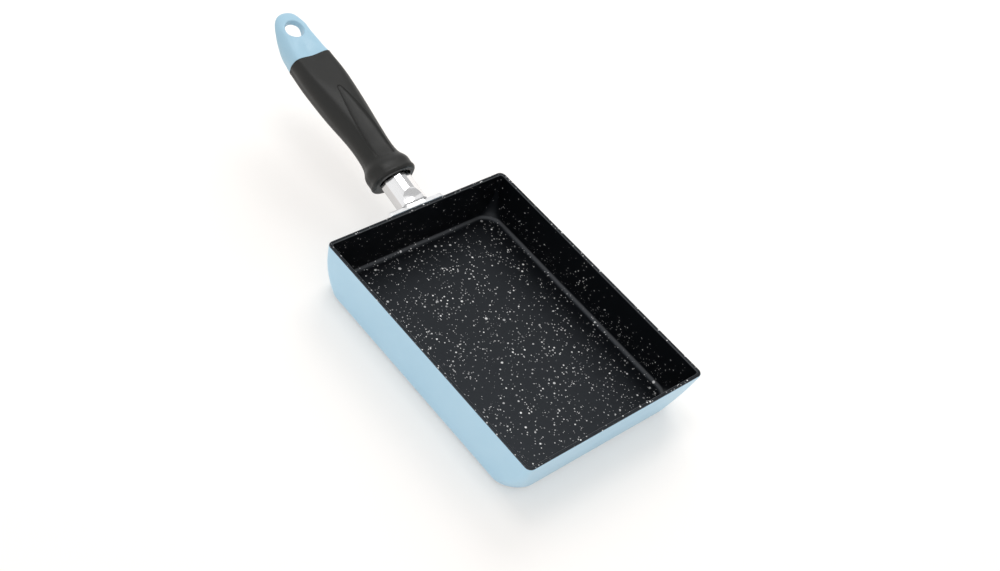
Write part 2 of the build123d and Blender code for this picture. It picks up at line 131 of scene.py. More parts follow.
@dataclass(frozen=True)
class Link:
    """A node's output that sums and products can be written with.

    Attributes:
        graph: The graph that holds the node.
        socket: The output socket, where the node has one.
    """

    graph: "NodeGraph"
    socket: bpy.types.NodeSocket | None

    def other(self, name: str) -> "Link":
        """Another output of the same node, by name."""
        return Link(self.graph, self.socket.node.outputs[name])

    def math(self, operation: str, *operands: "Operand") -> "Link":
        """Adds a Math node that works on the given operands."""
        return self.graph.node("ShaderNodeMath", {"operation": operation}, dict(enumerate(operands)))

    def __add__(self, value: "Operand") -> "Link":
        """This value plus another."""
        return self.math("ADD", self, value)

    def __radd__(self, value: "Operand") -> "Link":
        """Another value plus this one."""
        return self.math("ADD", value, self)

    def __sub__(self, value: "Operand") -> "Link":
        """This value less another."""
        return self.math("SUBTRACT", self, value)

    def __rsub__(self, value: "Operand") -> "Link":
        """Another value less this one."""
        return self.math("SUBTRACT", value, self)

    def __mul__(self, value: "Operand") -> "Link":
        """This value times another."""
        return self.math("MULTIPLY", self, value)

    def __rmul__(self, value: "Operand") -> "Link":
        """Another value times this one."""
        return self.math("MULTIPLY", value, self)

    def __truediv__(self, value: "Operand") -> "Link":
        """This value over another."""
        return self.math("DIVIDE", self, value)

    def __rtruediv__(self, value: "Operand") -> "Link":
        """Another value over this one."""
        return self.math("DIVIDE", value, self)

    def at_least(self, value: "Operand") -> "Link":
        """The larger of this value and another."""
        return self.math("MAXIMUM", self, value)

    def centred(self) -> "Link":
        """This noise less its middle value."""
        return self - NOISE_MIDDLE


Operand = Union[Link, float, int, Sequence[float]]


@dataclass(frozen=True)
class Lumps:
    """How a smooth noise looks.

    Attributes:
        size: The size of its lumps, in the unit of its coordinates.
        detail: How many finer layers it has.
        roughness: How strong they are.
    """

    size: float = 1.0
    detail: float = 2.0
    roughness: float = 0.5


@dataclass(frozen=True)
class Fade:
    """A smooth change of one value while another grows.

    Attributes:
        first: Where the change begins.
        last: Where it ends.
        start: The value before it.
        end: The value after it.
    """

    first: Operand
    last: Operand
    start: float = 0.0
    end: float = 1.0


class NodeGraph:
    """A node tree that is filled by one method."""

    def __init__(self, tree: bpy.types.NodeTree) -> None:
        """Takes the empty node tree to fill."""
        self.tree = tree

    def node(
        self,
        kind: str,
        settings: Mapping[str, Any] | None = None,
        inputs: Mapping[str | int, Any] | None = None,
    ) -> Link:
        """Adds a node.

        Args:
            kind: The node's type.
            settings: Its settings, set before its sockets.
            inputs: Values or links of its sockets, by name or number.

        Returns:
            The node's first output in use.
        """
        made = self.tree.nodes.new(kind)
        for name, value in (settings or {}).items():
            setattr(made, name, value)
        for key, value in (inputs or {}).items():
            self._feed(self._input(made, key), value)
        shown = [socket for socket in made.outputs if socket.enabled]
        return Link(self, shown[0] if shown else None)

    @staticmethod
    def _input(made: bpy.types.Node, key: str | int) -> bpy.types.NodeSocket:
        """Finds an input of a node.

        Args:
            made: The node.
            key: The input's number, or its name among those in use.

        Returns:
            The input's socket.
        """
        if isinstance(key, int):
            return made.inputs[key]
        return next(socket for socket in made.inputs if socket.name == key and socket.enabled)

    def _feed(self, socket: bpy.types.NodeSocket, value: Any) -> None:
        """Links a socket or sets its value.

        Args:
            socket: The input's socket.
            value: The link, or the value, where a colour may go without its alpha.
        """
        if isinstance(value, Link):
            self.tree.links.new(value.socket, socket)
        elif isinstance(value, tuple) and socket.type == "RGBA" and len(value) == 3:
            socket.default_value = (*value, 1.0)
        else:
            socket.default_value = value


class ShaderGraph(NodeGraph):
    """The node tree of one material."""

    def __init__(self, name: str) -> None:
        """Makes an empty material.

        Args:
            name: The material's name.
        """
        self.material = bpy.data.materials.new(name)
        self.material.use_nodes = True
        super().__init__(self.material.node_tree)
        self.tree.nodes.clear()
        self.place = self.node("ShaderNodeTexCoord").other("Object")

    def end(self, shader: Link) -> None:
        """Ends the tree in a shader."""
        self.node("ShaderNodeOutputMaterial", None, {"Surface": shader})

    def surface(self, **inputs: Any) -> None:
        """Ends the tree in one surface shader with the given inputs.

        Args:
            **inputs: Values or links, named as the shader's sockets with _ for spaces.
        """
        named = {key.replace("_", " "): value for key, value in inputs.items()}
        self.end(self.node("ShaderNodeBsdfPrincipled", None, named))

    def upward(self) -> Link:
        """How far the surface faces up: 1 where it lies level, 0 where it is upright."""
        normal = self.node("ShaderNodeTexCoord").other("Normal")
        return self.node("ShaderNodeSeparateXYZ", None, {"Vector": normal}).other("Z")

    def along(self, direction: Direction) -> Link:
        """Gives coordinates whose Y runs the way that a metal was brushed.

        Args:
            direction: The way of the brushing.

        Returns:
            The coordinates, in metres.
        """
        if direction is Direction.ALONG_PAN:
            return self.place
        return self.node(
            "ShaderNodeVectorRotate",
            {"rotation_type": "X_AXIS"},
            {"Vector": self.place, "Center": HANDLE_AXIS.foot, "Angle": -math.radians(HANDLE_AXIS.climb)},
        )

    def vector(self, operation: str, *operands: Operand) -> Link:
        """Adds a Vector Math node that works on the given operands."""
        return self.node("ShaderNodeVectorMath", {"operation": operation}, dict(enumerate(operands)))

    def stretched(self, vector: Link, sizes: Triple) -> Link:
        """Scales coordinates so that one unit is the given size each way.

        Args:
            vector: Coordinates in metres.
            sizes: The size of a unit along X, Y and Z, in metres.

        Returns:
            The scaled coordinates.
        """
        return self.vector("MULTIPLY", vector, tuple(1 / size for size in sizes))

    def noise(self, vector: Link, lumps: Lumps) -> Link:
        """Adds smooth noise from 0 to 1.

        Args:
            vector: The coordinates.
            lumps: How the noise looks.

        Returns:
            The noise's value.
        """
        return self.node(
            "ShaderNodeTexNoise",
            {"noise_dimensions": "3D"},
            {
                "Vector": vector,
                "Scale": 1 / lumps.size,
                "Detail": lumps.detail,
                "Roughness": lumps.roughness,
            },
        )

    def faded(self, value: Link, fade: Fade) -> Link:
        """Turns one value smoothly into another.

        Args:
            value: The value that grows.
            fade: The change that it makes.

        Returns:
            The value that changes.
        """
        return self.node(
            "ShaderNodeMapRange",
            {"interpolation_type": "SMOOTHSTEP"},
            {
                "Value": value,
                "From Min": fade.first,
                "From Max": fade.last,
                "To Min": fade.start,
                "To Max": fade.end,
            },
        )

    def mixed(
        self, factor: Operand, first: Operand, second: Operand, kind: MixKind = MixKind.COLOUR
    ) -> Link:
        """Mixes two colours or two numbers.

        Args:
            factor: The second one's share.
            first: The first one.
            second: The second one.
            kind: Whether they are colours or numbers.

        Returns:
            The mix.
        """
        inputs = {"Factor": factor, "A": first, "B": second}
        return self.node("ShaderNodeMix", {"data_type": kind.value}, inputs)

    def bump(self, height: Link, depth: float, under: Link | None = None) -> Link:
        """Turns a height into a normal.

        Args:
            height: The height.
            depth: How deep a height of 1 is, in metres.
            under: A normal that this one is laid over.

        Returns:
            The normal.
        """
        inputs: dict[str | int, Any] = {"Height": height, "Distance": depth, "Strength": 1.0}
        if under is not None:
            inputs["Normal"] = under
        return self.node("ShaderNodeBump", None, inputs)


@dataclass(frozen=True)
class TreeInput:
    """What a named input of a geometry tree is given.

    Attributes:
        kind: The input's kind.
        value: Its value.
    """

    kind: SocketKind
    value: Any


class GeometryGraph(NodeGraph):
    """A geometry tree with named inputs, which is run once to make a plain mesh."""

    def __init__(self, name: str, inputs: Mapping[str, TreeInput]) -> None:
        """Makes an empty tree with its inputs.

        Args:
            name: The tree's name.
            inputs: The inputs by name.
        """
        super().__init__(bpy.data.node_groups.new(name, "GeometryNodeTree"))
        self.inputs = inputs
        self.tree.interface.new_socket("Geometry", in_out="OUTPUT", socket_type="NodeSocketGeometry")
        for label, given in inputs.items():
            self.tree.interface.new_socket(label, in_out="INPUT", socket_type=given.kind.value)
        self.given = self.node("NodeGroupInput")

    def value(self, label: str) -> Link:
        """The tree's input of that name."""
        return self.given.other(label)

    def joined(self, *parts: Link) -> Link:
        """Joins parts.

        Args:
            *parts: The parts' geometry.

        Returns:
            Their geometry as one.
        """
        whole = self.node("GeometryNodeJoinGeometry")
        for part in parts:
            self.tree.links.new(part.socket, whole.socket.node.inputs[0])
        return whole

    def lifted(self, part: Link, height: Operand) -> Link:
        """Moves a part up along Z.

        Args:
            part: The part's geometry.
            height: How far it goes.

        Returns:
            The moved part.
        """
        lift = self.node("ShaderNodeCombineXYZ", None, {"Z": height})
        return self.node("GeometryNodeTransform", None, {"Geometry": part, "Translation": lift})

    def finish(self, geometry: Link, material: Link) -> None:
        """Ends the tree: real geometry with its material.

        Args:
            geometry: What the tree has made.
            material: The material to set on it.
        """
        real = self.node("GeometryNodeRealizeInstances", None, {"Geometry": geometry})
        dressed = self.node("GeometryNodeSetMaterial", None, {"Geometry": real, "Material": material})
        self.node("NodeGroupOutput", None, {"Geometry": dressed})

    def mesh(self, name: str) -> bpy.types.Mesh:
        """Runs the tree.

        Args:
            name: The mesh's name.

        Returns:
            The mesh that it makes.
        """
        carrier = bpy.data.objects.new(name, bpy.data.meshes.new(name))
        bpy.context.scene.collection.objects.link(carrier)
        modifier = carrier.modifiers.new(name, "NODES")
        modifier.node_group = self.tree
        for item in self.tree.interface.items_tree:
            if item.item_type == "SOCKET" and item.in_out == "INPUT":
                modifier[item.identifier] = self.inputs[item.name].value
        depsgraph = bpy.context.evaluated_depsgraph_get()
        mesh = bpy.data.meshes.new_from_object(carrier.evaluated_get(depsgraph), depsgraph=depsgraph)
        carrier.modifiers.remove(modifier)
        bpy.data.objects.remove(carrier)
        mesh.name = name
        return mesh


# Finishes


@dataclass(frozen=True)
class Finish(ABC):
    """How a surface looks.

    Attributes:
        name: The material's name.
    """

    name: str

    @abstractmethod
    def paint(self, graph: ShaderGraph) -> None:
        """Fills the material's node tree.

        Args:
            graph: The empty tree.
        """

    def material(self) -> bpy.types.Material:
        """Makes the material.

        Returns:
            The material, painted.
        """
        graph = ShaderGraph(self.name)
        self.paint(graph)
        return graph.material


@dataclass(frozen=True)
class FleckSize:
    """One size of flecks in the speckled coat.

    Attributes:
        spacing: How far apart the places for flecks are.
        radius: The largest fleck's radius.
        share: The share of places that hold a fleck.
    """

    spacing: float
    radius: float
    share: float


@dataclass(frozen=True)
class SpeckledCoat(Finish):
    """A black cooking coat with pale mineral flecks of several sizes.

    Attributes:
        ground: The colour between the flecks.
        cloud: The clouds in that colour.
        cloud_lift: How many times brighter the ground is in its clouds.
        painted_fillet_highlight: A painted highlight: a paler colour in the fillets that stands in for their
            reflection.
        fillet_wall: Where a wall passes into its fillet, by how far the surface faces up.
        fillet_floor: Where the fillet passes into the floor.
        dull_fleck: The darkest fleck's colour.
        bright_fleck: The palest fleck's colour.
        sizes: The flecks' sizes.
        core: How much of a fleck's reach it fills wholly.
        rim: How much of its reach it fills at all.
        blur: How much wider every edge is, as a share of the spacing.
        wander: The waves that the flecks' outlines follow.
        ragged: How far the outlines wander.
        clump: The spots where flecks lie thicker.
        clumping: How thickly they lie from spot to spot, about 1.
        catching: The share of flecks that a surface catches, by how far it faces up.
        grain: The film's fine grain.
        grain_depth: How deep the grain is.
        fleck_depth: How far the flecks stand out.
        sheen: The film's roughness.
        grain_sheen: How much rougher the grain makes it.
        fleck_sheen: How much rougher the flecks are.
        specular: How strongly the film reflects.
        specular_tint: The colour of its reflections.
    """

    ground: Colour = (0.0012, 0.0015, 0.0022)
    cloud: Lumps = Lumps(22 * MM)
    cloud_lift: float = 1.6
    # Painted highlight: a paler colour laid in the wall-to-floor fillets where their reflection lies.
    painted_fillet_highlight: Colour = (0.060, 0.062, 0.066)
    fillet_wall: Fade = Fade(0.30, 0.60)
    fillet_floor: Fade = Fade(0.80, 0.97, 1.0, 0.0)
    dull_fleck: Colour = (0.20, 0.20, 0.205)
    bright_fleck: Colour = (0.95, 0.95, 0.94)
    sizes: tuple[FleckSize, ...] = (
        FleckSize(1.15 * MM, 0.40 * MM, 0.29),
        FleckSize(1.9 * MM, 0.60 * MM, 0.42),
        FleckSize(4.5 * MM, 0.95 * MM, 0.50),
    )
    core: float = 0.72
    rim: float = 1.12
    blur: float = 0.004
    wander: Lumps = Lumps(0.9 * MM, 2.0, 0.6)
    ragged: float = 0.22 * MM
    clump: Lumps = Lumps(14 * MM)
    clumping: Fade = Fade(0.35, 0.65, 0.85, 1.15)
    catching: Fade = Fade(0.1, 0.9, 0.71, 1.0)
    grain: Lumps = Lumps(0.30 * MM, 3.0, 0.6)
    grain_depth: float = 7 * MICRON
    fleck_depth: float = 14 * MICRON
    sheen: float = 0.32
    grain_sheen: float = 0.10
    fleck_sheen: float = 0.12
    specular: float = 0.26
    specular_tint: Colour = (0.80, 0.89, 1.0)

    def paint(self, graph: ShaderGraph) -> None:
        """Fills the material's node tree.

        Args:
            graph: The empty tree.
        """
        upward = graph.upward()
        flecks, tone = self._flecks(graph, upward)
        grain = graph.noise(graph.place, self.grain)
        grained = graph.bump(grain, self.grain_depth)
        graph.surface(
            Base_Color=graph.mixed(
                flecks, self._ground(graph, upward), graph.mixed(tone, self.dull_fleck, self.bright_fleck)
            ),
            Roughness=self.sheen + self.grain_sheen * grain + self.fleck_sheen * flecks,
            Normal=graph.bump(flecks, self.fleck_depth, grained),
            Specular_IOR_Level=self.specular,
            Specular_Tint=self.specular_tint,
        )

    def _ground(self, graph: ShaderGraph, upward: Link) -> Link:
        """Paints the film between the flecks, with a painted highlight in the fillets.

        Args:
            graph: The material's tree.
            upward: How far the surface faces up.

        Returns:
            The ground's colour.
        """
        cloud = graph.noise(graph.place, self.cloud)
        lifted = tuple(self.cloud_lift * part for part in self.ground)
        # Painted highlight: the fillet mask mixes in the paler colour where the fillets' reflection lies.
        fillet = graph.faded(upward, self.fillet_wall) * graph.faded(upward, self.fillet_floor)
        return graph.mixed(fillet, graph.mixed(cloud, self.ground, lifted), self.painted_fillet_highlight)

    def _flecks(self, graph: ShaderGraph, upward: Link) -> tuple[Link, Link]:
        """Lays the flecks of all sizes over each other.

        Args:
            graph: The material's tree.
            upward: How far the surface faces up.

        Returns:
            Where the flecks are, and how pale each is.
        """
        waves = graph.noise(graph.place, self.wander).other("Color")
        centred = graph.vector("SUBTRACT", waves, 3 * (NOISE_MIDDLE,))
        push = graph.vector("MULTIPLY", centred, 3 * (2 * self.ragged,))
        place = graph.vector("ADD", graph.place, push)
        caught = graph.faded(upward, self.catching)
        clumps = graph.faded(graph.noise(graph.place, self.clump), self.clumping) * caught
        flecks, tone = self._layer(graph, place, self.sizes[0], clumps)
        for size in self.sizes[1:]:
            more, other_tone = self._layer(graph, place, size, clumps)
            tone = graph.mixed(more, tone, other_tone, MixKind.NUMBER)
            flecks = flecks.at_least(more)
        return flecks, tone

    def _layer(
        self, graph: ShaderGraph, place: Link, size: FleckSize, clumps: Link
    ) -> tuple[Link, Link]:
        """Adds the flecks of one size.

        Args:
            graph: The material's tree.
            place: The coordinates.
            size: The flecks' size.
            clumps: How thickly they lie from spot to spot, about 1.

        Returns:
            Where the flecks are, and how pale each is.
        """
        distance = graph.node(
            "ShaderNodeTexVoronoi",
            {"voronoi_dimensions": "3D", "feature": "F1", "distance": "EUCLIDEAN"},
            {"Vector": place, "Scale": 1 / size.spacing, "Randomness": 1.0},
        )
        chance = graph.node("ShaderNodeSeparateColor", {"mode": "RGB"}, {"Color": distance.other("Color")})
        held = (chance - (1 - size.share * clumps)) / size.share
        reach = held.at_least(0.0) * (size.radius / size.spacing)
        mask = graph.faded(distance, Fade(reach * self.core, reach * self.rim + self.blur, 1.0, 0.0))
        return mask, chance.other("Green")


@dataclass(frozen=True)
class BakedEnamel(Finish):
    """A smooth stoved coat in one pale colour, with the faint ripple of a sprayed film.

    Attributes:
        colour: The film's colour.
        deep: The colour where the film lies thicker.
        cloud: The spots where it lies thicker.
        clouding: How they show.
        ripple: The film's ripple.
        ripple_depth: How deep the ripple is.
        dust: The specks that dull the film.
        dusting: How they show.
        sheen: The film's roughness.
        cloud_sheen: How much rougher it is where it lies thicker.
        dust_sheen: How much rougher the specks are.
        specular: How strongly the film reflects.
    """

    colour: Colour = (0.430, 0.648, 0.795)
    deep: Colour = (0.412, 0.632, 0.782)
    cloud: Lumps = Lumps(26 * MM, 3.0, 0.55)
    clouding: Fade = Fade(0.35, 0.65)
    ripple: Lumps = Lumps(1.1 * MM)
    ripple_depth: float = 4 * MICRON
    dust: Lumps = Lumps(0.35 * MM, 1.0)
    dusting: Fade = Fade(0.70, 0.80)
    sheen: float = 0.33
    cloud_sheen: float = 0.05
    dust_sheen: float = 0.06
    specular: float = 0.5

    def paint(self, graph: ShaderGraph) -> None:
        """Fills the material's node tree.

        Args:
            graph: The empty tree.
        """
        cloud = graph.noise(graph.place, self.cloud)
        ripple = graph.noise(graph.place, self.ripple)
        dust = graph.faded(graph.noise(graph.place, self.dust), self.dusting)
        graph.surface(
            Base_Color=graph.mixed(graph.faded(cloud, self.clouding), self.colour, self.deep),
            Roughness=self.sheen + self.cloud_sheen * cloud + self.dust_sheen * dust,
            Normal=graph.bump(ripple, self.ripple_depth),
            Specular_IOR_Level=self.specular,
        )


@dataclass(frozen=True)
class BrushedMetal(Finish):
    """Bare metal with fine lines left by brushing or drawing, and painted shade that can darken its upright
    sides.

    Attributes:
        colour: The metal's colour.
        shade: Its colour in the lines.
        lining: How the lines show in the colour.
        direction: The way that the lines run.
        line: The noise that draws the lines, with a line as its unit.
        line_width: How wide they are.
        line_length: How long they are.
        line_depth: How deep they are.
        band: The noise that draws broader bands, with a band as its unit.
        band_scale: How many times wider and longer than a line a band is.
        sheen: The metal's roughness.
        line_sheen: How far the lines change it.
        band_sheen: How far the bands change it.
        crown: How far its flats are rounded about the handle's axis, where 1 is fully round.
        shaded_side_share: How bright its upright sides are, as a share of its top: painted shade that
            darkens the sides.
        side_limit: How far a side may face up.
        top_limit: How far the top has to face up.
    """

    colour: Colour = (0.88, 0.88, 0.885)
    shade: Colour = (0.80, 0.80, 0.805)
    lining: Fade = Fade(0.3, 0.7)
    direction: Direction = Direction.ALONG_HANDLE
    line: Lumps = Lumps(1.0, 2.0, 0.6)
    line_width: float = 0.10 * MM
    line_length: float = 14 * MM
    line_depth: float = 1.2 * MICRON
    band: Lumps = Lumps(1.0, 2.0, 0.5)
    band_scale: float = 6
    sheen: float = 0.15
    line_sheen: float = 0.10
    band_sheen: float = 0.08
    crown: float = 0.0
    # Painted shade on the upright sides; 1 leaves them as bright as the top.
    shaded_side_share: float = 1.0
    side_limit: float = 0.15
    top_limit: float = 0.6

    def paint(self, graph: ShaderGraph) -> None:
        """Fills the material's node tree.

        Args:
            graph: The empty tree.
        """
        place = graph.along(self.direction)
        sizes = (self.line_width, self.line_length, self.line_width)
        lines = graph.noise(graph.stretched(place, sizes), self.line)
        broad = tuple(self.band_scale * size for size in sizes)
        bands = graph.noise(graph.stretched(place, broad), self.band)
        # Painted shade: the upright sides' base colour is darkened towards black, by how far they face
        # sideways.
        painted_side_shade = graph.faded(graph.upward(), Fade(self.side_limit, self.top_limit, self.shaded_side_share, 1.0))
        metal = graph.mixed(graph.faded(lines, self.lining), self.shade, self.colour)
        graph.surface(
            Base_Color=graph.mixed(painted_side_shade, BLACK, metal),
            Roughness=self.sheen + self.line_sheen * lines.centred() + self.band_sheen * bands.centred(),
            Normal=graph.bump(lines, self.line_depth, self._crowned(graph, place)),
            Metallic=1.0,
        )

    def _crowned(self, graph: ShaderGraph, place: Link) -> Link:
        """Rounds the flats about the handle's axis.

        Args:
            graph: The material's tree.
            place: Coordinates whose Y runs along that axis.

        Returns:
            The rounded normal.
        """
        radial = graph.vector("MULTIPLY", graph.vector("SUBTRACT", place, HANDLE_AXIS.foot), (1.0, 0.0, 1.0))
        reach = graph.vector("LENGTH", radial)
        return graph.bump((0 - reach) / MM, self.crown * MM)


@dataclass(frozen=True)
class TumbledMetal(Finish):
    """Bare metal with an even, finely pitted surface, as after tumbling or plating.

    Attributes:
        colour: The metal's colour.
        shade: Its colour in its clouds.
        cloud: The clouds.
        clouding: How they show.
        pits: The fine pits.
        pit_depth: How deep they are.
        sheen: The metal's roughness.
        pit_sheen: How far the pits change it.
        cloud_sheen: How far the clouds change it.
    """

    colour: Colour = (0.87, 0.875, 0.88)
    shade: Colour = (0.77, 0.775, 0.78)
    cloud: Lumps = Lumps(7 * MM, 3.0, 0.5)
    clouding: Fade = Fade(0.3, 0.7)
    pits: Lumps = Lumps(0.35 * MM, 4.0, 0.6)
    pit_depth: float = 5 * MICRON
    sheen: float = 0.30
    pit_sheen: float = 0.14
    cloud_sheen: float = 0.10

    def paint(self, graph: ShaderGraph) -> None:
        """Fills the material's node tree.

        Args:
            graph: The empty tree.
        """
        pits = graph.noise(graph.place, self.pits)
        cloud = graph.noise(graph.place, self.cloud)
        graph.surface(
            Base_Color=graph.mixed(graph.faded(cloud, self.clouding), self.shade, self.colour),
            Roughness=self.sheen + self.pit_sheen * pits.centred() + self.cloud_sheen * cloud.centred(),
            Normal=graph.bump(pits, self.pit_depth),
            Metallic=1.0,
        )


@dataclass(frozen=True)
class MouldedPlastic(Finish):
    """Moulded plastic with the fine grain of its mould.

    Attributes:
        colour: The plastic's colour.
        shade: Its colour in the grain's hollows.
        grain: The grain.
        graining: How it shows in the colour.
        grain_depth: How deep it is.
        flow: The noise that draws the flow marks, with a mark as its unit.
        flow_size: A flow mark's size across, along and through the handle.
        sheen: The plastic's roughness.
        grain_sheen: How far the grain changes it.
        flow_sheen: How far the flow marks change it.
        specular: How strongly the plastic reflects.
    """

    colour: Colour = (0.0125, 0.0125, 0.0113)
    shade: Colour = (0.0085, 0.0085, 0.0078)
    grain: Lumps = Lumps(0.28 * MM, 3.0, 0.6)
    graining: Fade = Fade(0.3, 0.6)
    grain_depth: float = 9 * MICRON
    flow: Lumps = Lumps(1.0)
    flow_size: Triple = (6 * MM, 30 * MM, 6 * MM)
    sheen: float = 0.40
    grain_sheen: float = 0.10
    flow_sheen: float = 0.06
    specular: float = 0.3

    def paint(self, graph: ShaderGraph) -> None:
        """Fills the material's node tree.

        Args:
            graph: The empty tree.
        """
        grain = graph.noise(graph.place, self.grain)
        flow = graph.noise(graph.stretched(graph.along(Direction.ALONG_HANDLE), self.flow_size), self.flow)
        graph.surface(
            Base_Color=graph.mixed(graph.faded(grain, self.graining), self.shade, self.colour),
            Roughness=self.sheen + self.grain_sheen * grain.centred() + self.flow_sheen * flow.centred(),
            Normal=graph.bump(grain, self.grain_depth),
            Specular_IOR_Level=self.specular,
        )


def dress(nodes: Sequence[Node], finish: Finish) -> bpy.types.Material:
    """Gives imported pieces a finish.

    Args:
        nodes: The pieces.
        finish: Their finish.

    Returns:
        The material that they share.
    """
    material = finish.material()
    for node in nodes:
        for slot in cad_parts[node.value].material_slots:
            slot.material = material
        LOG.info("%s: %s", node.value, finish.name)
    return material


# Sub-assemblies


@dataclass
class Tray:
    """The pressed tray with its two coats.

    Attributes:
        sheet: The bare sheet's finish.
        outside: The outer coat's finish.
        inside: The cooking coat's finish.
    """

    sheet: BrushedMetal = BrushedMetal(
        "pressed_aluminium",
        colour=(0.74, 0.745, 0.75),
        shade=(0.64, 0.645, 0.65),
        direction=Direction.ALONG_PAN,
        line_width=0.22 * MM,
        line_length=40 * MM,
        line_depth=3 * MICRON,
        sheen=0.30,
    )
    outside: BakedEnamel = BakedEnamel("pale_blue_enamel")
    inside: SpeckledCoat = SpeckledCoat("speckled_black_coat")

    def dress(self) -> None:
        """Gives the tray's pieces their finishes."""
        dress([Node.PAN_BODY], self.sheet)
        dress([Node.OUTER_COATING], self.outside)
        dress([Node.NONSTICK_COATING], self.inside)


@dataclass
class Neck:
    """The bracket on the handle wall, the studs that hold it and the sleeve round its tang.

    Attributes:
        bracket: The finish of the bracket and its studs.
        sleeve: The sleeve's finish.
    """

    bracket: TumbledMetal = TumbledMetal("tumbled_aluminium")
    # The sleeve's upright sides are darkened as painted shade.
    sleeve: BrushedMetal = BrushedMetal("drawn_bright_steel", crown=0.2, shaded_side_share=0.72)

    def dress(self) -> None:
        """Gives the neck's pieces their finishes."""
        dress([Node.HANDLE_BRACKET, Node.WELD_STUDS], self.bracket)
        dress([Node.FERRULE], self.sleeve)


@dataclass
class Handle:
    """The moulded grip and its end cap.

    Attributes:
        grip: The grip's finish.
        cap: The end cap's finish.
    """

    grip: MouldedPlastic = MouldedPlastic("dark_moulded_grip")
    cap: MouldedPlastic = MouldedPlastic(
        "pale_blue_cap",
        colour=(0.347, 0.534, 0.652),
        shade=(0.334, 0.520, 0.640),
        grain=Lumps(0.8 * MM, 3.0, 0.6),
        grain_depth=3 * MICRON,
        sheen=0.30,
    )

    def dress(self) -> None:
        """Gives the handle's pieces their finishes."""
        dress([Node.GRIP], self.grip)
        dress([Node.END_CAP], self.cap)


